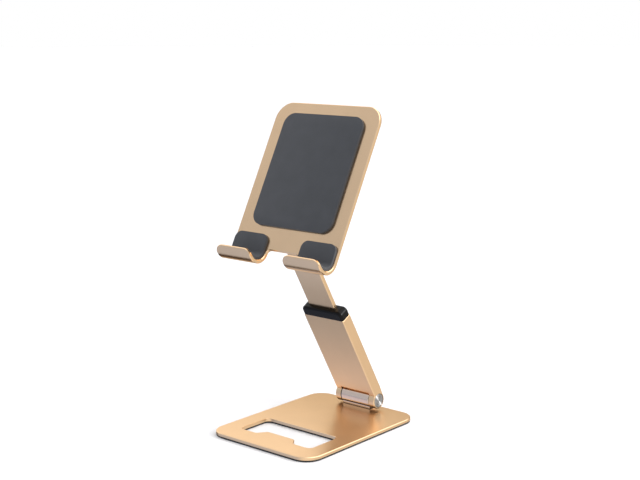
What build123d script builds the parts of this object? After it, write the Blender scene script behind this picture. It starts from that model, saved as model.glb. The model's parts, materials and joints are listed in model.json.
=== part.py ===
from build123d import *
import os
from math import cos, radians, sin

# Folding phone stand: a flat base, a telescopic arm hinged at the back of the base,
# and a phone cradle with two hooks hinged at the top of the arm.
# Millimetres. +Z is up, the cradle faces -Y and the left-right axis is X.
# The origin is the middle of the base's underside.

os.makedirs("parts", exist_ok=True)

# ---------------------------------------------------------------- driving dimensions
# base
base_width = 86.4
base_depth = 111.6
base_corner_r = 11.5
base_metal = 2.0
pad_thickness = 1.2
pad_inset = 0.35
base_top = pad_thickness + base_metal
base_chamfer = 0.4
window_chamfer = 0.25

window_half_width = 30.3
window_front = -39.8
window_back = -12.4
window_corner_r = 3.6
tab_top = -33.3
tab_half_top = 11.5
tab_half_foot = 16.0
tab_top_r = 2.5
tab_foot_r = 3.0

# lower hinge, whose axis runs along X
lower_y = 47.6
lower_z = base_top + 7.0
knuckle_r = 5.85
barrel_half = 11.7
cheek_inner = 12.2
foot_half_depth = 3.6
barrel_chamfer = 0.25

lower_pin_r = 2.5
lower_bush_r = 3.55
lower_bush_length = 9.0
lower_disc_r = 4.85
disc_thickness = 1.4
lower_washer_r = 5.4
lower_spring_stack = 1.2

foot_screw_x = 7.0
foot_screw_r = 1.5
foot_screw_head_r = 2.9
foot_screw_tip = 3.0

# arm, seen in its own frame: X across, Y towards the back, Z up the arm
arm_lean = 30.2
sleeve_width = 33.8
sleeve_thick = 8.3
sleeve_front = -2.0
sleeve_bottom = 7.7
sleeve_top = 73.8
sleeve_chamfer = 0.55
cavity_width = 28.6
cavity_thick = 5.4
cavity_bottom = 11.5

collar_height = 6.7
collar_plug = 4.0
collar_side_r = 3.4
collar_edge_r = 1.7

blade_width = 22.0
blade_thick = 2.8
blade_bottom = 61.0
slot_clearance = 0.1
shoe_bottom = 60.0
shoe_top = 68.6
shoe_width = 28.2
shoe_thick = 5.1
rivet_r = 1.2
rivet_head_r = 2.1
rivet_head_thick = 0.6
rivet_x = 7.0

# upper hinge, whose axis is this far up the arm from the lower one
upper_reach = 133.6
upper_knuckle_r = 4.3
upper_ear_r = 4.6
upper_ear_inner = 11.4
upper_ear_outer = 15.0
upper_pin_r = 2.0
upper_bush_r = 2.85
upper_bush_length = 8.0
upper_disc_r = 4.0
upper_washer_r = 4.1
upper_spring_stack = 0.9

# cradle, seen from the upper hinge: X across, Y towards the back, Z up the plate
cradle_lean = 27.7
cradle_half = 43.5
sheet = 2.5
plate_behind = 7.0
plate_top = 92.2
plate_corner_r = 12.0
plate_chamfer = 0.5
hook_drop = 11.6
hook_outer_r = 9.1
hook_sweep = 163.0
lip_corner_r = 5.4
notch_half = 13.4
notch_top = -9.4
notch_r = 3.0
broad_area = 400.0

pad = 1.8
glue_gap = 0.02
hook_pad_in = 14.6
hook_pad_out = 42.3
hook_pad_top = 0.1
hook_pad_corner_r = 5.0
hook_pad_lip_r = 4.0
hook_pad_sweep = 146.0
back_pad_half = 33.0
back_pad_bottom = 6.0
back_pad_top = 84.0
back_pad_corner_r = 8.0

flange_half = 17.0
flange_bottom = -6.2
flange_top = 22.0
flange_thick = 2.2
flange_corner_r = 3.0
bracket_chamfer = 0.3
flange_screw_x = 10.0
flange_screw_z = (9.0, 17.0)
flange_screw_r = 1.5
flange_screw_head_r = 2.7

running_gap = 0.05
flat_screw_angle = 90.0
socket_r = 1.0
socket_depth = 1.0
head_sink = 0.1

# ---------------------------------------------------------------- derived places
arm_angle = radians(arm_lean)
arm_dir = Vector(0, -sin(arm_angle), cos(arm_angle))
arm_rear = Vector(0, cos(arm_angle), sin(arm_angle))
cradle_angle = radians(cradle_lean)
cradle_up = Vector(0, sin(cradle_angle), cos(cradle_angle))
cradle_rear = Vector(0, cos(cradle_angle), -sin(cradle_angle))

sleeve_mid = sleeve_front + sleeve_thick / 2
lower_axis = Vector(0, lower_y, lower_z)
upper_axis = lower_axis + arm_dir * upper_reach + arm_rear * sleeve_mid

cheek_outer = sleeve_width / 2
plate_rear = -plate_behind
plate_front = plate_rear - sheet
hook_y = plate_rear - hook_outer_r
hook_z = -hook_drop
hook_inner_r = hook_outer_r - sheet
flange_rear = plate_rear + flange_thick

arm_plane = Plane(origin=lower_axis, x_dir=(1, 0, 0), z_dir=arm_dir)


def lower_hinge_at(x):
    """Plane square to the lower hinge axis: X to the arm's back, Y up the arm."""
    return Plane(origin=lower_axis + Vector(x, 0, 0), x_dir=arm_rear, z_dir=(1, 0, 0))


def upper_hinge_at(x):
    """Plane square to the upper hinge axis: X to the cradle's back, Y up the plate."""
    return Plane(origin=upper_axis + Vector(x, 0, 0), x_dir=cradle_rear, z_dir=(1, 0, 0))


def cradle_front_at(y):
    """Plane along the cradle plate: X across, Y up the plate, normal to the front."""
    return Plane(origin=upper_axis + cradle_rear * y, x_dir=(1, 0, 0), z_dir=-cradle_rear)


def flat_screw(head_r, thread_r, length):
    """Flat-headed socket screw, head sunk just below Z = 0 and thread growing along +Z."""
    with BuildPart() as made:
        with BuildSketch(Plane.XZ):
            with BuildLine():
                Polyline(
                    (0, head_sink),
                    (head_r - head_sink - running_gap, head_sink),
                    (thread_r - running_gap, head_r - thread_r),
                    (thread_r - running_gap, length),
                    (0, length),
                    close=True,
                )
            make_face()
        revolve(axis=Axis.Z)
        with BuildSketch(Plane.XY.offset(head_sink)):
            RegularPolygon(socket_r, 6)
        extrude(amount=socket_depth, mode=Mode.SUBTRACT)
    return made.part


def write(piece, label):
    piece.part.label = label
    export_step(piece.part, f"parts/{label}.step")


def base_outline(inset):
    """Base outline with its window, shrunk all round by an inset."""
    with BuildSketch() as window:
        with Locations((0, (window_front + window_back) / 2)):
            RectangleRounded(2 * window_half_width, window_back - window_front, window_corner_r)
        slope = (tab_half_foot - tab_half_top) / (tab_top - window_front)
        below = 1.0
        foot = tab_half_foot + slope * below
        with BuildLine():
            Polyline(
                (-foot, window_front - below),
                (-tab_half_top, tab_top),
                (tab_half_top, tab_top),
                (foot, window_front - below),
                close=True,
            )
        make_face(mode=Mode.SUBTRACT)
        shoulders = window.vertices().filter_by(lambda v: abs(v.Y - tab_top) < 0.01)
        fillet(shoulders, tab_top_r)
        feet = window.vertices().filter_by(
            lambda v: abs(v.Y - window_front) < 0.01 and abs(abs(v.X) - tab_half_foot) < 0.01
        )
        fillet(feet, tab_foot_r)
        if inset:
            offset(amount=inset)
    with BuildSketch() as outline:
        RectangleRounded(base_width - 2 * inset, base_depth - 2 * inset, base_corner_r - inset)
        add(window.sketch, mode=Mode.SUBTRACT)
    return outline.sketch


# ---------------------------------------------------------------- base
with BuildPart() as base_pad:
    with BuildSketch(Plane.XY):
        add(base_outline(pad_inset))
    extrude(amount=pad_thickness)
write(base_pad, "base_pad")

with BuildPart() as base_plate:
    with BuildSketch(Plane.XY.offset(pad_thickness)):
        add(base_outline(0))
    extrude(amount=base_metal)
    top_face = base_plate.faces().sort_by(Axis.Z)[-1]
    chamfer(top_face.outer_wire().edges(), base_chamfer)
    top_face = base_plate.faces().sort_by(Axis.Z)[-1]
    chamfer(top_face.inner_wires()[0].edges(), window_chamfer)
    with Locations(Plane(origin=(0, lower_y, pad_thickness), z_dir=(0, 0, -1))):
        with Locations((-foot_screw_x, 0), (foot_screw_x, 0)):
            CounterSinkHole(
                foot_screw_r + 0.1, foot_screw_head_r, counter_sink_angle=flat_screw_angle
            )
write(base_plate, "base_plate")

# hinge block: a barrel standing on a narrow foot, screwed to the base
with BuildPart() as hinge_block:
    with BuildSketch(Plane(origin=lower_axis, x_dir=(0, 1, 0), z_dir=(1, 0, 0))):
        Circle(knuckle_r)
        drop = lower_z - base_top
        with Locations((0, -drop / 2)):
            Rectangle(2 * foot_half_depth, drop)
        Circle(lower_bush_r, mode=Mode.SUBTRACT)
    extrude(amount=barrel_half, both=True)
    barrel_rims = hinge_block.edges().filter_by(
        lambda e: e.geom_type == GeomType.CIRCLE and abs(e.radius - knuckle_r) < 0.01
    )
    chamfer(barrel_rims, barrel_chamfer)
    with Locations(Plane(origin=(0, lower_y, base_top), z_dir=(0, 0, -1))):
        with Locations((-foot_screw_x, 0), (foot_screw_x, 0)):
            Hole(foot_screw_r, depth=foot_screw_tip)
write(hinge_block, "hinge_block")

foot_screw = flat_screw(foot_screw_head_r, foot_screw_r, base_metal + foot_screw_tip - 0.3)
foot_screw_pair = Part() + [
    Pos(x, lower_y, pad_thickness) * foot_screw for x in (-foot_screw_x, foot_screw_x)
]
with BuildPart() as hinge_block_screws:
    add(foot_screw_pair)
write(hinge_block_screws, "hinge_block_screws")

# friction bushes pressed into both ends of the barrel
with BuildPart() as lower_bushes:
    for start in (-barrel_half, barrel_half - lower_bush_length):
        with BuildSketch(lower_hinge_at(start)):
            Circle(lower_bush_r - glue_gap)
            Circle(lower_pin_r + running_gap, mode=Mode.SUBTRACT)
        extrude(amount=lower_bush_length)
write(lower_bushes, "lower_bushes")

# ---------------------------------------------------------------- arm
# outer sleeve: a flat tube whose two cheeks run down into the hinge knuckles
disc_seat_r = lower_disc_r + 0.08
right_seat = disc_thickness + 0.2
left_seat = right_seat + lower_spring_stack
with BuildPart() as arm_sleeve:
    with BuildSketch(arm_plane.offset(sleeve_bottom)):
        with Locations((0, sleeve_mid)):
            Rectangle(sleeve_width, sleeve_thick)
    extrude(amount=sleeve_top - sleeve_bottom)
    sleeve_back = sleeve_front + sleeve_thick
    for start in (-cheek_outer, cheek_inner):
        with BuildSketch(lower_hinge_at(start)):
            Circle(knuckle_r)
            with BuildLine():
                Polyline(
                    (sleeve_front, 0),
                    (knuckle_r, 0),
                    (sleeve_back, sleeve_bottom),
                    (sleeve_back, sleeve_bottom + 1),
                    (sleeve_front, sleeve_bottom + 1),
                    close=True,
                )
            make_face()
        extrude(amount=cheek_outer - cheek_inner)
    lip = arm_sleeve.edges().filter_by(Axis.X).filter_by(
        lambda e: abs((e.center() - lower_axis).dot(arm_rear) - sleeve_front) < 0.01
        and abs((e.center() - lower_axis).dot(arm_dir) - sleeve_bottom) < 0.01
    )
    chamfer(lip, sleeve_chamfer / 2)
    side_faces = arm_sleeve.faces().filter_by(Axis.X)
    outer_sides = side_faces.sort_by(Axis.X)[0:1] + side_faces.sort_by(Axis.X)[-1:]
    chamfer(outer_sides.edges(), sleeve_chamfer)
    with BuildSketch(arm_plane.offset(cavity_bottom)):
        with Locations((0, sleeve_mid)):
            RectangleRounded(cavity_width, cavity_thick, 0.6)
    extrude(amount=sleeve_top - cavity_bottom, mode=Mode.SUBTRACT)
    with BuildSketch(lower_hinge_at(-cheek_outer)):
        Circle(lower_pin_r + glue_gap)
    extrude(amount=sleeve_width, mode=Mode.SUBTRACT)
    with BuildSketch(lower_hinge_at(cheek_outer - right_seat)):
        Circle(disc_seat_r)
    extrude(amount=right_seat, mode=Mode.SUBTRACT)
    with BuildSketch(lower_hinge_at(-cheek_outer)):
        Circle(disc_seat_r)
    extrude(amount=left_seat, mode=Mode.SUBTRACT)
write(arm_sleeve, "arm_sleeve")

# headed pin from the right, and a slotted nut on the left
lower_head_x = cheek_outer - right_seat
lower_nut_x = -cheek_outer + left_seat - lower_spring_stack - disc_thickness
with BuildPart() as lower_pin:
    with BuildSketch(lower_hinge_at(lower_nut_x + 0.1)):
        Circle(lower_pin_r)
    extrude(amount=lower_head_x - lower_nut_x)
    with BuildSketch(lower_hinge_at(lower_head_x)):
        Circle(lower_disc_r)
    extrude(amount=disc_thickness)
    chamfer(lower_pin.faces().sort_by(Axis.X)[-1].edges(), 0.3)
write(lower_pin, "lower_pin")

with BuildPart() as lower_nut:
    with BuildSketch(lower_hinge_at(lower_nut_x)):
        Circle(lower_disc_r)
        Circle(lower_pin_r + glue_gap, mode=Mode.SUBTRACT)
    extrude(amount=disc_thickness)
    with BuildSketch(lower_hinge_at(lower_nut_x)):
        for side in (-1, 1):
            with Locations((side * 3.7, 0)):
                Circle(0.6)
    extrude(amount=0.8, mode=Mode.SUBTRACT)
write(lower_nut, "lower_nut")


def disc_springs(start_plane, outer_r, inner_r, stack):
    """Two disc springs set face to face, each a shallow cone that fills half the stack."""
    thick = stack * 0.3
    rise = stack / 2 - thick
    with BuildPart() as made:
        for sign in (1, -1):
            with BuildSketch(Plane.XZ):
                with BuildLine():
                    Polyline(
                        (inner_r, sign * rise),
                        (outer_r, sign * 0.01),
                        (outer_r, sign * thick),
                        (inner_r, sign * (rise + thick)),
                        close=True,
                    )
                make_face()
            revolve(axis=Axis.Z)
    return start_plane.offset(stack / 2).location * made.part


lower_spring_part = disc_springs(
    lower_hinge_at(lower_nut_x + disc_thickness),
    lower_disc_r - 0.1,
    lower_pin_r + running_gap,
    lower_spring_stack,
)
with BuildPart() as lower_springs:
    add(lower_spring_part)
write(lower_springs, "lower_disc_springs")

# thin plastic washers that show as dark seams beside the barrel
with BuildPart() as lower_washers:
    washer_thick = cheek_inner - barrel_half - running_gap
    for start in (-cheek_inner, cheek_inner - washer_thick):
        with BuildSketch(lower_hinge_at(start)):
            Circle(lower_washer_r)
            Circle(lower_pin_r + running_gap, mode=Mode.SUBTRACT)
        extrude(amount=washer_thick)
write(lower_washers, "lower_washers")

# plastic collar: a rounded cap on the sleeve, with a plug inside it and a slot for the blade
with BuildPart() as collar:
    with BuildSketch(arm_plane.offset(sleeve_top)):
        with Locations((0, sleeve_mid)):
            Rectangle(sleeve_width, sleeve_thick)
    extrude(amount=collar_height)
    arm_axis = Axis(lower_axis, arm_dir)
    top_face = collar.faces().sort_by(arm_axis)[-1]
    fillet(top_face.edges().filter_by(Axis(lower_axis, arm_rear)), collar_side_r)
    rims = collar.edges().filter_by(lambda e: (e.center() - lower_axis).dot(arm_dir) > sleeve_top + 1.5)
    fillet(rims.filter_by(lambda e: abs(e.center().X) < cheek_outer - 0.2), collar_edge_r)
    with BuildSketch(arm_plane.offset(sleeve_top - collar_plug)):
        with Locations((0, sleeve_mid)):
            RectangleRounded(cavity_width - 2 * running_gap, cavity_thick - 2 * running_gap, 0.5)
    extrude(amount=collar_plug)
    with BuildSketch(arm_plane.offset(sleeve_top - collar_plug)):
        with Locations((0, sleeve_mid)):
            Rectangle(blade_width + 2 * slot_clearance, blade_thick + 2 * slot_clearance)
    extrude(amount=collar_plug + collar_height, mode=Mode.SUBTRACT)
write(collar, "collar")

# ---------------------------------------------------------------- sliding blade
with BuildPart() as blade:
    with BuildSketch(arm_plane.offset(blade_bottom)):
        with Locations((0, sleeve_mid)):
            Rectangle(blade_width, blade_thick)
    extrude(amount=upper_reach - blade_bottom)
    long_edges = blade.edges().filter_by(Axis(lower_axis, arm_dir))
    chamfer(long_edges, 0.3)
    with BuildSketch(upper_hinge_at(-blade_width / 2)):
        Circle(upper_knuckle_r)
    extrude(amount=blade_width)
    with BuildSketch(upper_hinge_at(-blade_width / 2)):
        Circle(upper_bush_r)
    extrude(amount=blade_width, mode=Mode.SUBTRACT)
    shoe_mid = (shoe_bottom + shoe_top) / 2 + 0.5
    with BuildSketch(Plane(origin=lower_axis + arm_dir * shoe_mid, x_dir=(1, 0, 0), z_dir=arm_rear)):
        with Locations((-rivet_x, 0), (rivet_x, 0)):
            Circle(rivet_r + glue_gap)
    extrude(amount=sleeve_thick, mode=Mode.SUBTRACT)
write(blade, "inner_blade")

shoe_front = sleeve_mid - shoe_thick / 2
shoe_rear = sleeve_mid + shoe_thick / 2
spring_recess = 0.7
spring_half = 4.4
with BuildPart() as shoe:
    with BuildSketch(arm_plane.offset(shoe_bottom)):
        with Locations((0, sleeve_mid)):
            RectangleRounded(shoe_width, shoe_thick, 0.5)
    extrude(amount=shoe_top - shoe_bottom)
    with BuildSketch(arm_plane.offset(blade_bottom - glue_gap)):
        with Locations((0, sleeve_mid)):
            Rectangle(blade_width + 2 * glue_gap, blade_thick + 2 * glue_gap)
    extrude(amount=shoe_top - blade_bottom + 1, mode=Mode.SUBTRACT)
    rivet_plane = Plane(
        origin=lower_axis + arm_dir * shoe_mid + arm_rear * shoe_front,
        x_dir=(1, 0, 0),
        z_dir=arm_rear,
    )
    with BuildSketch(rivet_plane):
        with Locations((-rivet_x, 0), (rivet_x, 0)):
            Circle(rivet_r + glue_gap)
    extrude(amount=shoe_thick, mode=Mode.SUBTRACT)
    for seat_plane in (rivet_plane, rivet_plane.offset(shoe_thick - rivet_head_thick)):
        with BuildSketch(seat_plane):
            with Locations((-rivet_x, 0), (rivet_x, 0)):
                Circle(rivet_head_r + glue_gap)
        extrude(amount=rivet_head_thick, mode=Mode.SUBTRACT)
    with BuildSketch(rivet_plane.offset(shoe_thick - spring_recess)):
        Rectangle(2 * spring_half + 0.2, 6.4)
    extrude(amount=spring_recess, mode=Mode.SUBTRACT)
write(shoe, "slider_shoe")

with BuildPart() as rivets:
    for rivet_side in (-rivet_x, rivet_x):
        with BuildSketch(rivet_plane.offset(0.05)):
            with Locations((rivet_side, 0)):
                Circle(rivet_head_r)
        extrude(amount=rivet_head_thick - 0.05)
        with BuildSketch(rivet_plane.offset(0.05)):
            with Locations((rivet_side, 0)):
                Circle(rivet_r)
        extrude(amount=shoe_thick - 0.1)
        with BuildSketch(rivet_plane.offset(shoe_thick - rivet_head_thick)):
            with Locations((rivet_side, 0)):
                Circle(rivet_head_r)
        extrude(amount=rivet_head_thick - 0.05)
write(rivets, "shoe_rivets")

# bowed leaf spring that presses the shoe against the sleeve's front wall
with BuildPart() as leaf:
    bow = spring_recess + 0.05
    leaf_thick = 0.25
    rear_of_recess = shoe_rear - spring_recess
    with BuildSketch(arm_plane.offset(shoe_mid - 2.8)):
        with BuildLine():
            under = ThreePointArc(
                (-spring_half, rear_of_recess + 0.02),
                (0, rear_of_recess + bow - leaf_thick),
                (spring_half, rear_of_recess + 0.02),
            )
            over = ThreePointArc(
                (-spring_half, rear_of_recess + 0.02 + leaf_thick),
                (0, rear_of_recess + bow),
                (spring_half, rear_of_recess + 0.02 + leaf_thick),
            )
            Line(under @ 0, over @ 0)
            Line(under @ 1, over @ 1)
        make_face()
    extrude(amount=5.6)
write(leaf, "friction_spring")

with BuildPart() as upper_bushes:
    for start in (-blade_width / 2, blade_width / 2 - upper_bush_length):
        with BuildSketch(upper_hinge_at(start)):
            Circle(upper_bush_r - glue_gap)
            Circle(upper_pin_r + running_gap, mode=Mode.SUBTRACT)
        extrude(amount=upper_bush_length)
write(upper_bushes, "upper_bushes")

# ---------------------------------------------------------------- cradle


def hook_section(outer_r, inner_r, sweep, top):
    """J-shaped section: up the plate, then round under the phone to the lip."""
    with BuildSketch() as section:
        with BuildLine():
            outer = CenterArc((hook_y, hook_z), outer_r, 0, -sweep)
            inner = CenterArc((hook_y, hook_z), inner_r, 0, -sweep)
            Line(outer @ 1, inner @ 1)
            Polyline(outer @ 0, (hook_y + outer_r, top), (hook_y + inner_r, top), inner @ 0)
        make_face()
    return section.sketch


cradle_axis = Axis(upper_axis, cradle_up)
with BuildPart() as cradle_plate:
    with BuildSketch(upper_hinge_at(0)):
        add(hook_section(hook_outer_r, hook_inner_r, hook_sweep, plate_top))
    extrude(amount=cradle_half, both=True)
    through = cradle_plate.edges().filter_by(Axis(upper_axis, cradle_rear))
    fillet(through.group_by(cradle_axis)[-1], plate_corner_r)
    with BuildSketch(cradle_front_at(plate_rear + 1)):
        with Locations((0, notch_top - 10)):
            RectangleRounded(2 * notch_half, 20, notch_r)
        with Locations((0, notch_top - 16)):
            Rectangle(2 * notch_half, 20)
    extrude(amount=2 * hook_outer_r + 2, mode=Mode.SUBTRACT)
    tips = cradle_plate.edges().filter_by(
        lambda e: abs(e.length - sheet) < 0.01
        and (e.center() - upper_axis).dot(cradle_rear) < hook_y - 2
    )
    fillet(tips, lip_corner_r)
    broad_faces = cradle_plate.faces().filter_by(lambda f: f.area > broad_area)
    rims = broad_faces.edges().filter_by(
        lambda e: abs((e.center() - upper_axis).dot(cradle_up) - hook_z) > 0.01
        or abs(e.center().X) > cradle_half - 0.01
    )
    chamfer(rims, plate_chamfer)
    for row in flange_screw_z:
        with Locations(cradle_front_at(plate_front)):
            with Locations((-flange_screw_x, row), (flange_screw_x, row)):
                CounterSinkHole(
                    flange_screw_r + 0.1, flange_screw_head_r, sheet + 1,
                    counter_sink_angle=flat_screw_angle,
                )
write(cradle_plate, "cradle_plate")

for side, label in ((-1, "hook_pad_left"), (1, "hook_pad_right")):
    with BuildPart() as hook_pad:
        with BuildSketch(upper_hinge_at(min(side * hook_pad_in, side * hook_pad_out))):
            add(
                hook_section(
                    hook_inner_r - glue_gap, hook_inner_r - pad, hook_pad_sweep, hook_pad_top
                )
            )
        extrude(amount=hook_pad_out - hook_pad_in)
        ends = hook_pad.edges().filter_by(lambda e: abs(e.length - (pad - glue_gap)) < 0.01)
        fillet(ends.group_by(cradle_axis)[-1], hook_pad_corner_r)
        lips = hook_pad.edges().filter_by(
            lambda e: abs(e.length - (pad - glue_gap)) < 0.01
            and (e.center() - upper_axis).dot(cradle_rear) < hook_y - 2
        )
        fillet(lips, hook_pad_lip_r)
    write(hook_pad, label)

with BuildPart() as back_pad:
    with BuildSketch(cradle_front_at(plate_front - glue_gap)):
        with Locations((0, (back_pad_bottom + back_pad_top) / 2)):
            RectangleRounded(
                2 * back_pad_half, back_pad_top - back_pad_bottom, back_pad_corner_r
            )
    extrude(amount=pad - glue_gap)
write(back_pad, "back_pad")

# bracket: a flange screwed to the plate's back, with two ears for the hinge pin
with BuildPart() as bracket:
    with BuildSketch(cradle_front_at(flange_rear)):
        with Locations((0, (flange_bottom + flange_top) / 2)):
            RectangleRounded(2 * flange_half, flange_top - flange_bottom, flange_corner_r)
    extrude(amount=flange_thick)
    for start in (-upper_ear_outer, upper_ear_inner):
        with BuildSketch(upper_hinge_at(start)):
            Circle(upper_ear_r)
            with Locations((flange_rear / 2 - 0.25, 0)):
                Rectangle(-flange_rear + 0.5, 2 * upper_ear_r)
        extrude(amount=upper_ear_outer - upper_ear_inner)
    ear_rims = bracket.edges().filter_by(
        lambda e: e.geom_type == GeomType.CIRCLE and abs(e.radius - upper_ear_r) < 0.01
    )
    chamfer(ear_rims, bracket_chamfer)
    flange_face = bracket.faces().filter_by(Axis(upper_axis, cradle_rear)).sort_by(
        lambda f: (f.center() - upper_axis).dot(cradle_rear)
    )[-1]
    flange_rim = flange_face.outer_wire().edges().filter_by(
        lambda e: (e.center() - upper_axis).dot(cradle_up) > upper_ear_r + 1
    )
    chamfer(flange_rim, bracket_chamfer)
    with BuildSketch(upper_hinge_at(-upper_ear_outer)):
        Circle(upper_pin_r + glue_gap)
    extrude(amount=2 * upper_ear_outer, mode=Mode.SUBTRACT)
    for row in flange_screw_z:
        with Locations(cradle_front_at(plate_rear)):
            with Locations((-flange_screw_x, row), (flange_screw_x, row)):
                Hole(flange_screw_r, depth=flange_thick + 0.5)
write(bracket, "hinge_bracket")

# flat-headed screws, heads in the plate's front face under the back pad
bracket_screw = flat_screw(flange_screw_head_r, flange_screw_r, sheet + flange_thick - 0.2)
screw_places = [
    cradle_front_at(plate_front).location * Pos(x, z, 0) * Rot(180, 0, 0)
    for x in (-flange_screw_x, flange_screw_x)
    for z in flange_screw_z
]
four_screws = Part() + [place * bracket_screw for place in screw_places]
with BuildPart() as bracket_screws:
    add(four_screws)
write(bracket_screws, "bracket_screws")

upper_nut_x = -upper_ear_outer - upper_spring_stack - disc_thickness
with BuildPart() as upper_pin:
    with BuildSketch(upper_hinge_at(upper_nut_x + 0.1)):
        Circle(upper_pin_r)
    extrude(amount=upper_ear_outer - upper_nut_x)
    with BuildSketch(upper_hinge_at(upper_ear_outer)):
        Circle(upper_disc_r)
    extrude(amount=disc_thickness)
    chamfer(upper_pin.faces().sort_by(Axis.X)[-1].edges(), 0.3)
write(upper_pin, "upper_pin")

with BuildPart() as upper_nut:
    with BuildSketch(upper_hinge_at(upper_nut_x)):
        Circle(upper_disc_r)
        Circle(upper_pin_r + glue_gap, mode=Mode.SUBTRACT)
    extrude(amount=disc_thickness)
    with BuildSketch(upper_hinge_at(upper_nut_x)):
        for side in (-1, 1):
            with Locations((side * 3.0, 0)):
                Circle(0.5)
    extrude(amount=0.8, mode=Mode.SUBTRACT)
write(upper_nut, "upper_nut")

upper_spring_part = disc_springs(
    upper_hinge_at(upper_nut_x + disc_thickness),
    upper_disc_r - 0.1,
    upper_pin_r + running_gap,
    upper_spring_stack,
)
with BuildPart() as upper_springs:
    add(upper_spring_part)
write(upper_springs, "upper_disc_springs")

with BuildPart() as upper_washers:
    washer_thick = upper_ear_inner - blade_width / 2 - running_gap
    for start in (-upper_ear_inner, upper_ear_inner - washer_thick):
        with BuildSketch(upper_hinge_at(start)):
            Circle(upper_washer_r)
            Circle(upper_pin_r + running_gap, mode=Mode.SUBTRACT)
        extrude(amount=washer_thick)
write(upper_washers, "upper_washers")
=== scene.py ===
"""Looks of the folding phone stand: materials, soft pads, floor, light and camera."""

import json
from math import cos, pi, radians, sin

import bmesh
import bpy
from mathutils import Matrix, Vector

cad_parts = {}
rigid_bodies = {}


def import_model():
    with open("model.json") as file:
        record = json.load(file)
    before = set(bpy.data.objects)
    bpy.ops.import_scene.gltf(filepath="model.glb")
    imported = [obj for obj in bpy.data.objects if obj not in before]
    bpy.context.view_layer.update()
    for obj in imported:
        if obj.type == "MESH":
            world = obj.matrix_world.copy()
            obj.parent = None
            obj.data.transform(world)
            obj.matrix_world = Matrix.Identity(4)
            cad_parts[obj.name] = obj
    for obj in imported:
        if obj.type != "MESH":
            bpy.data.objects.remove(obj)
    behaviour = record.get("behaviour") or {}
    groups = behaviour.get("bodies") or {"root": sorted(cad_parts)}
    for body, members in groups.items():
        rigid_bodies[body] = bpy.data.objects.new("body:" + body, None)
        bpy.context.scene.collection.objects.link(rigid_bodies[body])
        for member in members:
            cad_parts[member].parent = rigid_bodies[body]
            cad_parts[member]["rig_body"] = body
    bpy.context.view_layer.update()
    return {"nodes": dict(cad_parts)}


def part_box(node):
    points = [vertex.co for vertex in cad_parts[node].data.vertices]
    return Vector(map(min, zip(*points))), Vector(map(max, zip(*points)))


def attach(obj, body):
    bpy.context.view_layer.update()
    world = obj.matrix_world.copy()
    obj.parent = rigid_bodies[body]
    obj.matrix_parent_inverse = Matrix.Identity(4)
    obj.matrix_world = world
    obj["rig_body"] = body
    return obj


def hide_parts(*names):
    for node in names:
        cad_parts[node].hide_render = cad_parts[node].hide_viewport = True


MM = 0.001

# colours of the materials
GOLD = (0.90, 0.62, 0.37)
OXIDE_TINT = (0.98, 0.86, 0.70, 1.0)
TURNED_GOLD = (0.86, 0.68, 0.55)
PIN_STEEL = (0.50, 0.49, 0.48)
SCREW_STEEL = (0.62, 0.61, 0.60)
PLASTIC_BLACK = (0.0038, 0.0036, 0.0035)
SILICONE_GREY = (0.046, 0.048, 0.053)
RUBBER_BLACK = (0.012, 0.012, 0.013)

# where a cloudy colour starts and stops changing, on the noise's scale from 0 to 1
CLOUD_STOPS = (0.3, 0.7)

# the wave texture's phase turns through this many radians per unit at scale 1
WAVE_RATE = 20.0

# colours of the light tent's panels, which the metal mirrors
SOFTBOX = (1.25, 1.25, 1.27)
SIDE_BOX = (0.80, 0.78, 0.74)
BACK_GAP = (0.60, 0.54, 0.44)
ABOVE_FRONT = (0.56, 0.60, 0.68)
BELOW_LEFT = (0.53, 0.61, 0.82)
BELOW_RIGHT = (1.0, 0.98, 0.95)
BELOW_BACK = (0.07, 0.05, 0.04)
BELOW_FAR = (0.66, 0.60, 0.55)

# where one panel fades into the next, along one axis of the direction looked in
BELOW_LEFT_TO_RIGHT = ("X", -0.4, 0.3)
BELOW_BACK_TO_FAR = ("Y", 0.25, 0.5)
BACK_LEFT_TO_RIGHT = ("X", 0.2, 0.6)
BELOW_FRONT_TO_BACK = ("Y", -0.17, -0.03)
LEFT_TO_GAP = ("X", -0.80, -0.65)
HORIZON_TO_TOP = ("Z", 0.26, 0.36)
ABOVE_FRONT_TO_BACK = ("Y", -0.6, -0.1)
BELOW_TO_ABOVE = ("Z", -0.20, 0.05)

# colours of the cards, which show only in reflections: the three over the base plate are painted
# reflections (a cool bounce in place of the gold base, painted shade under the hinge, a painted
# bright edge highlight), the fourth a dim panel behind
BOUNCE_NEAR = (0.38, 0.43, 0.56)
BOUNCE_FAR = (0.74, 0.70, 0.79)
HINGE_SHADE = (0.10, 0.07, 0.05)
EDGE_HIGHLIGHT = (0.98, 0.96, 0.93)
FLAG_LOW = (0.54, 0.49, 0.41)
FLAG_HIGH = (1.12, 1.12, 1.12)

# the cards' spans in metres: three lie just over the base plate, painting reflections and shade
# into the metal above them, and one stands behind
CARD_LIFT = 0.3 * MM
BOUNCE_X, BOUNCE_Y = (-0.120, 0.020), (-0.025, 0.040)
SHADE_X, SHADE_Y = (-0.020, 0.020), (0.042, 0.0558)
EDGE_X, EDGE_Y = (0.020, 0.043), (-0.050, 0.0558)
FLAG_X, FLAG_Y, FLAG_TOP = (-0.7, 0.08), 0.20, 0.12

# where two of the cards start and stop fading, as shares of their depth and height
BOUNCE_FADE = (0.3, 0.95)
FLAG_FADE = (0.65, 1.0)

FLOOR_HALF = 12.0
FLOOR_DARK = (0.80, 0.80, 0.802)
FLOOR_LIGHT = (0.82, 0.82, 0.822)
DOME_RADIUS = 11.5
WHITE = (1.0, 1.0, 1.0, 1.0)

# camera: place in metres, angles in degrees, lens in millimetres
CAMERA_PLACE = (0.50543, -0.58733, 0.2666)
CAMERA_AZIMUTH = 40.44
CAMERA_ELEVATION = 10.26
CAMERA_ROLL = -0.12
CAMERA_LENS = 68.59
CAMERA_SENSOR = 36.0

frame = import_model()
nodes = frame["nodes"]


# ---------------------------------------------------------------- node helpers


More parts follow.
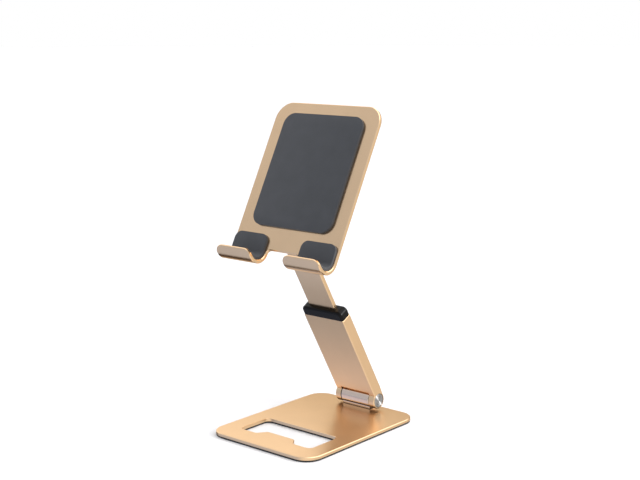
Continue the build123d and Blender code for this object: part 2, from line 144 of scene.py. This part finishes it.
def scaled(tone, factor):
    """A colour made lighter or darker, with no channel over 1."""
    return tuple(min(1.0, channel * factor) for channel in tone)


class Shader:
    """A small helper that grows one material's node tree."""

    def __init__(self, name):
        self.material = bpy.data.materials.new(name)
        self.material.use_nodes = True
        self.tree = self.material.node_tree
        self.tree.nodes.clear()
        self.out = self.add("ShaderNodeOutputMaterial")
        self.surface = self.add("ShaderNodeBsdfPrincipled")
        self.join(self.surface, "BSDF", self.out, "Surface")
        self.coords = self.add("ShaderNodeTexCoord")

    def add(self, kind, **settings):
        node = self.tree.nodes.new(kind)
        for key, value in settings.items():
            setattr(node, key, value)
        return node

    def join(self, source, output, target, socket):
        self.tree.links.new(source.outputs[output], target.inputs[socket])

    def set(self, **values):
        """Sets constants on the surface's own sockets, with _ for each space in a name."""
        for key, value in values.items():
            self.surface.inputs[key.replace("_", " ")].default_value = value

    def noise(self, size, detail=3.0, roughness=0.5):
        """Noise whose features are about size metres across."""
        texture = self.add("ShaderNodeTexNoise")
        texture.inputs["Scale"].default_value = 1.0 / size
        texture.inputs["Detail"].default_value = detail
        texture.inputs["Roughness"].default_value = roughness
        self.join(self.coords, "Object", texture, "Vector")
        return texture

    def ramp(self, source, output, low, high, stops=(0.0, 1.0)):
        """Maps a 0 to 1 value onto a range of colours or greys."""
        ramp = self.add("ShaderNodeValToRGB")
        for element, place, value in zip(ramp.color_ramp.elements, stops, (low, high)):
            tone = value if hasattr(value, "__len__") else (value,) * 3
            element.position = place
            element.color = (*tone, 1.0)
        self.join(source, output, ramp, "Fac")
        return ramp

    def colour(self, texture, low, high, stops=(0.0, 1.0)):
        """Drives the base colour by a texture."""
        shades = self.ramp(texture, "Fac", low, high, stops)
        self.join(shades, "Color", self.surface, "Base Color")

    def roughness(self, texture, low, high):
        """Drives the roughness by a texture."""
        greys = self.ramp(texture, "Fac", low, high)
        self.join(greys, "Color", self.surface, "Roughness")

    def bump(self, *layers):
        """Stacks height textures as bumps; each layer is a texture and its depth in metres."""
        last = None
        for texture, depth in layers:
            bump = self.add("ShaderNodeBump")
            bump.inputs["Strength"].default_value = 1.0
            bump.inputs["Distance"].default_value = depth
            self.join(texture, "Fac", bump, "Height")
            if last is not None:
                self.join(last, "Normal", bump, "Normal")
            last = bump
        self.join(last, "Normal", self.surface, "Normal")


# ---------------------------------------------------------------- materials


def champagne_metal(name, rough, grain_depth):
    """Bead-blasted, anodised aluminium: fine grain, faint cloudiness, a thin clear oxide."""
    shader = Shader(name)
    cloud = shader.noise(18 * MM, detail=2.0)
    shader.colour(cloud, scaled(GOLD, 0.975), scaled(GOLD, 1.015), CLOUD_STOPS)

    # the roughness varies a little from patch to patch and from grain to grain
    patch_share, grain_share = 0.06, 0.05
    smear = shader.noise(6 * MM)
    patches = shader.add("ShaderNodeMath", operation="MULTIPLY_ADD")
    shader.join(smear, "Fac", patches, 0)
    patches.inputs[1].default_value = patch_share
    patches.inputs[2].default_value = rough - patch_share / 2
    grain = shader.noise(0.16 * MM, detail=4.0, roughness=0.65)
    grainy = shader.add("ShaderNodeMath", operation="MULTIPLY_ADD")
    shader.join(grain, "Fac", grainy, 0)
    grainy.inputs[1].default_value = grain_share
    shader.join(patches, "Value", grainy, 2)
    shader.join(grainy, "Value", shader.surface, "Roughness")

    shader.bump((grain, grain_depth))
    shader.set(Metallic=1.0, Specular_Tint=OXIDE_TINT)
    shader.set(Coat_Weight=0.12, Coat_Roughness=0.2, Coat_IOR=1.5)
    return shader.material


def turned_metal(name, tone, rough, pitch, depth, centre, wave_type="BANDS", stretch=0.0):
    """Metal turned on a lathe about the X axis through the centre, with fine rings.

    BANDS are the rings along a shaft and RINGS those on an end face, whose highlight
    may be stretched into a bow tie. Screws and rivets share one such steel, wherever they
    point.
    """
    shader = Shader(name)
    place = shader.add("ShaderNodeMapping")
    place.inputs["Location"].default_value = -centre
    shader.join(shader.coords, "Object", place, "Vector")
    rings = shader.add("ShaderNodeTexWave", wave_type=wave_type)
    rings.bands_direction = "X"
    rings.rings_direction = "X"
    rings.inputs["Scale"].default_value = 2.0 * pi / (WAVE_RATE * pitch)
    rings.inputs["Distortion"].default_value = 0.4
    rings.inputs["Detail"].default_value = 2.0
    shader.join(place, "Vector", rings, "Vector")
    cloud = shader.noise(3 * MM)
    shader.colour(cloud, scaled(tone, 0.94), tone, CLOUD_STOPS)
    shader.roughness(rings, rough * 0.85, rough * 1.15)
    shader.bump((rings, depth))
    shader.set(Metallic=1.0, Anisotropic=stretch)
    if stretch:
        shader.set(Anisotropic_Rotation=0.25)
        tangent = shader.add("ShaderNodeTangent", direction_type="RADIAL", axis="X")
        shader.join(tangent, "Tangent", shader.surface, "Tangent")
    return shader.material


def moulded_plastic(name, tone, rough):
    """Injection-moulded plastic with a fine spark-eroded texture."""
    shader = Shader(name)
    cloud = shader.noise(5 * MM)
    shader.colour(cloud, scaled(tone, 0.8), scaled(tone, 1.2))
    texture = shader.noise(0.22 * MM, roughness=0.6)
    shader.roughness(texture, rough - 0.07, rough + 0.08)
    shader.bump((texture, 0.012 * MM))
    shader.set(Specular_IOR_Level=0.15)
    return shader.material


def silicone(name, tone, rough):
    """Soft matt silicone: velvety grain over shallow dapples, with a faint sheen."""
    shader = Shader(name)
    cloud = shader.noise(9 * MM, detail=4.0)
    shader.colour(cloud, scaled(tone, 0.85), scaled(tone, 1.2))
    skin = shader.noise(0.12 * MM, roughness=0.6)
    dapple = shader.noise(0.9 * MM, detail=2.0)
    shader.roughness(skin, rough - 0.06, rough + 0.06)
    shader.bump((dapple, 0.012 * MM), (skin, 0.008 * MM))
    shader.set(Specular_IOR_Level=0.4, Sheen_Weight=0.15, Sheen_Roughness=0.5)
    return shader.material


def middle(node):
    """The middle of a node's box."""
    low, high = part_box(node)
    return (low + high) / 2


def pin_steel(name, centre):
    """Steel with the bow-tie highlight of a faced pin end."""
    return turned_metal(name, PIN_STEEL, 0.5, 1.885 * MM, 0.001 * MM, centre, "RINGS", 0.97)


def paint(material, *names):
    for name in names:
        mesh = nodes[name].data
        mesh.materials.clear()
        mesh.materials.append(material)


lower_axis = middle("lower_pin")
upper_axis = middle("upper_pin")

gold = champagne_metal("champagne_anodised", 0.27, 0.004 * MM)
satin_gold = champagne_metal("champagne_satin", 0.19, 0.002 * MM)
barrel = turned_metal("champagne_turned", TURNED_GOLD, 0.13, 1.57 * MM, 0.002 * MM, lower_axis)
screw_steel = turned_metal("screw_steel", SCREW_STEEL, 0.3, 1.885 * MM, 0.002 * MM, lower_axis)
steel_low = pin_steel("turned_steel_low", lower_axis)
steel_up = pin_steel("turned_steel_up", upper_axis)
plastic = moulded_plastic("black_plastic", PLASTIC_BLACK, 0.30)
grey = silicone("grey_silicone", SILICONE_GREY, 0.62)
rubber = silicone("black_rubber", RUBBER_BLACK, 0.7)

paint(gold, "base_plate", "arm_sleeve", "hinge_bracket")
paint(satin_gold, "inner_blade", "cradle_plate")
paint(barrel, "hinge_block")
paint(steel_low, "lower_pin", "lower_nut", "lower_disc_springs")
paint(steel_up, "upper_pin", "upper_nut", "upper_disc_springs")
paint(screw_steel, "hinge_block_screws", "bracket_screws", "shoe_rivets", "friction_spring")
paint(plastic, "collar", "slider_shoe")
paint(plastic, "lower_washers", "upper_washers", "lower_bushes", "upper_bushes")


# ---------------------------------------------------------------- soft pads


def soft_copy(node, name, edge, material):
    """A soft piece made from a CAD pad: welded, its sharp edges rounded, then smoothed."""
    piece = bpy.data.objects.new(name, nodes[node].data.copy())
    bpy.context.scene.collection.objects.link(piece)
    weld = piece.modifiers.new("weld", "WELD")
    weld.merge_threshold = 0.002 * MM
    bevel = piece.modifiers.new("bevel", "BEVEL")
    bevel.width = edge
    bevel.segments = 4
    bevel.limit_method = "ANGLE"
    bevel.angle_limit = radians(40)
    depsgraph = bpy.context.evaluated_depsgraph_get()
    final = bpy.data.meshes.new_from_object(piece.evaluated_get(depsgraph))
    piece.modifiers.clear()
    piece.data = final
    final.materials.clear()
    final.materials.append(material)
    final.shade_smooth()
    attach(piece, nodes[node]["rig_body"])
    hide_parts(node)
    return piece


hook_left = soft_copy("hook_pad_left", "left_hook_cushion", 0.6 * MM, grey)
hook_right = soft_copy("hook_pad_right", "right_hook_cushion", 0.6 * MM, grey)
back_cushion = soft_copy("back_pad", "back_cushion", 0.7 * MM, grey)
foot_sheet = soft_copy("base_pad", "foot_sheet", 0.25 * MM, rubber)


# ---------------------------------------------------------------- floor, light and camera


def stage_mesh(name, mesh, material):
    """Puts a mesh on the stage, seen by every kind of ray."""
    piece = bpy.data.objects.new(name, mesh)
    bpy.context.scene.collection.objects.link(piece)
    mesh.materials.append(material)
    return piece


def stage_floor():
    """A plain pale table; it takes soft shadows but doesn't show in the metal."""
    mesh = bpy.data.meshes.new("floor")
    half = FLOOR_HALF
    corners = [(-half, -half, 0), (half, -half, 0), (half, half, 0), (-half, half, 0)]
    mesh.from_pydata(corners, [], [(0, 1, 2, 3)])
    shader = Shader("floor_white")
    shader.colour(shader.noise(40 * MM, detail=2.0), FLOOR_DARK, FLOOR_LIGHT)
    shader.set(Roughness=1.0, Specular_IOR_Level=0.0)
    floor = stage_mesh("floor", mesh, shader.material)
    floor.visible_glossy = False


def stage_backdrop():
    """A white dome far round everything, seen by the camera only."""
    mesh = bpy.data.meshes.new("backdrop")
    build = bmesh.new()
    bmesh.ops.create_icosphere(build, subdivisions=4, radius=DOME_RADIUS)
    build.to_mesh(mesh)
    build.free()
    shader = Shader("backdrop_white")
    glow = shader.add("ShaderNodeEmission")
    glow.inputs["Color"].default_value = WHITE
    glow.inputs["Strength"].default_value = 1.0
    shader.join(glow, "Emission", shader.out, "Surface")
    dome = stage_mesh("backdrop", mesh, shader.material)
    dome.visible_glossy = False
    dome.visible_diffuse = False
    dome.visible_shadow = False
    dome.visible_transmission = False


def reflection_card(name, corners, axis, first, last, stops=(0.0, 1.0)):
    """A glowing card that shows only in reflections, and only from its front side: a painted
    reflection in the metal.
    """
    mesh = bpy.data.meshes.new(name)
    mesh.from_pydata(corners, [], [(0, 1, 2, 3)])
    shader = Shader(name + "_glow")
    place = shader.add("ShaderNodeSeparateXYZ")
    shader.join(shader.coords, "Generated", place, "Vector")
    fade = shader.ramp(place, axis, first, last, stops)
    glow = shader.add("ShaderNodeEmission")
    shader.join(fade, "Color", glow, "Color")
    clear = shader.add("ShaderNodeBsdfTransparent")
    side = shader.add("ShaderNodeNewGeometry")
    one_sided = shader.add("ShaderNodeMixShader")
    shader.join(side, "Backfacing", one_sided, "Fac")
    shader.join(glow, "Emission", one_sided, 1)
    shader.join(clear, "BSDF", one_sided, 2)
    shader.join(one_sided, "Shader", shader.out, "Surface")
    card = stage_mesh(name, mesh, shader.material)
    card.visible_camera = False
    card.visible_diffuse = False
    card.visible_shadow = False
    card.visible_transmission = False


def level_corners(x_span, y_span):
    """Corners of a card that lies just over the base plate and faces up."""
    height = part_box("base_plate")[1][2] + CARD_LIFT
    (left, right), (near, far) = x_span, y_span
    return [(left, near, height), (right, near, height), (right, far, height), (left, far, height)]


def stage_cards():
    """Cards mirrored by the metal: three just over the base plate, painting a cool reflection,
    shade under the hinge and a bright edge highlight, and one behind the stand.
    """
    # painted reflection: the arm's front mirrors this cool card instead of the gold base plate
    bounce = level_corners(BOUNCE_X, BOUNCE_Y)
    reflection_card("bounce_card", bounce, "Y", BOUNCE_NEAR, BOUNCE_FAR, BOUNCE_FADE)
    # painted shade: a dark card under the hinge darkens what the knuckles and the base mirror
    # there
    shade = level_corners(SHADE_X, SHADE_Y)
    reflection_card("hinge_shade", shade, "Y", HINGE_SHADE, HINGE_SHADE)
    # painted highlight: a bright card on the right that lights up the arm's right edge and the
    # knuckles in reflection
    edge = level_corners(EDGE_X, EDGE_Y)
    reflection_card("edge_highlight_card", edge, "Y", EDGE_HIGHLIGHT, EDGE_HIGHLIGHT)
    left, right = FLAG_X
    foot, top = 0.0, FLAG_TOP
    flag = [(left, FLAG_Y, foot), (right, FLAG_Y, foot), (right, FLAG_Y, top), (left, FLAG_Y, top)]
    reflection_card("dim_card", flag, "Z", FLAG_LOW, FLAG_HIGH, FLAG_FADE)


def studio_world():
    """Light tent: bright above and on the left, dimmer elsewhere, dark under the back."""
    world = bpy.data.worlds.new("studio")
    bpy.context.scene.world = world
    world.use_nodes = True
    tree = world.node_tree
    tree.nodes.clear()
    out = tree.nodes.new("ShaderNodeOutputWorld")
    background = tree.nodes.new("ShaderNodeBackground")
    tree.links.new(background.outputs["Background"], out.inputs["Surface"])
    coords = tree.nodes.new("ShaderNodeTexCoord")
    split = tree.nodes.new("ShaderNodeSeparateXYZ")
    tree.links.new(coords.outputs["Generated"], split.inputs["Vector"])

    def mixed(fade, first, second):
        """First before the fade starts, second past its end, along one axis of the direction."""
        axis, start, end = fade
        span = tree.nodes.new("ShaderNodeMapRange")
        span.interpolation_type = "SMOOTHSTEP"
        span.inputs["From Min"].default_value = start
        span.inputs["From Max"].default_value = end
        tree.links.new(split.outputs[axis], span.inputs["Value"])
        mix = tree.nodes.new("ShaderNodeMix")
        mix.data_type = "RGBA"
        tree.links.new(span.outputs["Result"], mix.inputs["Factor"])
        for socket, value in ((mix.inputs["A"], first), (mix.inputs["B"], second)):
            if hasattr(value, "is_output"):
                tree.links.new(value, socket)
            else:
                socket.default_value = (*value, 1.0)
        return mix.outputs["Result"]

    below_front = mixed(BELOW_LEFT_TO_RIGHT, BELOW_LEFT, BELOW_RIGHT)
    below_far = mixed(BELOW_BACK_TO_FAR, BELOW_BACK, BELOW_FAR)
    below_back = mixed(BACK_LEFT_TO_RIGHT, below_far, SIDE_BOX)
    below = mixed(BELOW_FRONT_TO_BACK, below_front, below_back)
    left_side = mixed(LEFT_TO_GAP, SOFTBOX, BACK_GAP)
    horizon = mixed(BACK_LEFT_TO_RIGHT, left_side, SIDE_BOX)
    above_back = mixed(HORIZON_TO_TOP, horizon, SOFTBOX)
    above = mixed(ABOVE_FRONT_TO_BACK, ABOVE_FRONT, above_back)
    tent = mixed(BELOW_TO_ABOVE, below, above)
    tree.links.new(tent, background.inputs["Color"])
    background.inputs["Strength"].default_value = 1.0


def add_light(name, lamp, towards):
    """Adds a light that shines from the direction given; an area light still needs a place."""
    light = bpy.data.objects.new(name, lamp)
    light.rotation_euler = Vector(towards).to_track_quat("Z", "Y").to_euler()
    bpy.context.scene.collection.objects.link(light)
    return light


def soft_light(name, place, target, size, power):
    lamp = bpy.data.lights.new(name, "AREA")
    lamp.shape = "RECTANGLE"
    lamp.size, lamp.size_y = size
    lamp.energy = power
    light = add_light(name, lamp, Vector(place) - Vector(target))
    light.location = place


def soft_sun(name, towards, strength, spread):
    lamp = bpy.data.lights.new(name, "SUN")
    lamp.energy = strength
    lamp.angle = radians(spread)
    add_light(name, lamp, towards)


def place_camera():
    camera_data = bpy.data.cameras.new("camera")
    camera_data.sensor_width = CAMERA_SENSOR
    camera_data.lens = CAMERA_LENS
    camera_data.clip_start = 0.01
    camera_data.clip_end = 100.0
    camera = bpy.data.objects.new("camera", camera_data)
    azimuth, elevation = radians(CAMERA_AZIMUTH), radians(CAMERA_ELEVATION)
    roll = radians(CAMERA_ROLL)
    back = Vector((sin(azimuth) * cos(elevation), -cos(azimuth) * cos(elevation), sin(elevation)))
    right = Vector((cos(azimuth), sin(azimuth), 0.0))
    up = back.cross(right)
    turned_right = right * cos(roll) + up * sin(roll)
    turned_up = up * cos(roll) - right * sin(roll)
    rotation = Matrix((turned_right, turned_up, back)).transposed()
    camera.matrix_world = Matrix.Translation(CAMERA_PLACE) @ rotation.to_4x4()
    bpy.context.scene.collection.objects.link(camera)
    bpy.context.scene.camera = camera


stage_floor()
stage_backdrop()
stage_cards()
studio_world()
soft_sun("overhead", towards=(0.25, 0.45, 1.0), strength=1.0, spread=75)
soft_light("side", place=(1.15, 0.35, 0.50), target=(0, 0, 0.08), size=(0.25, 0.5), power=9.0)
place_camera()
bpy.context.scene.view_settings.view_transform = "Standard"
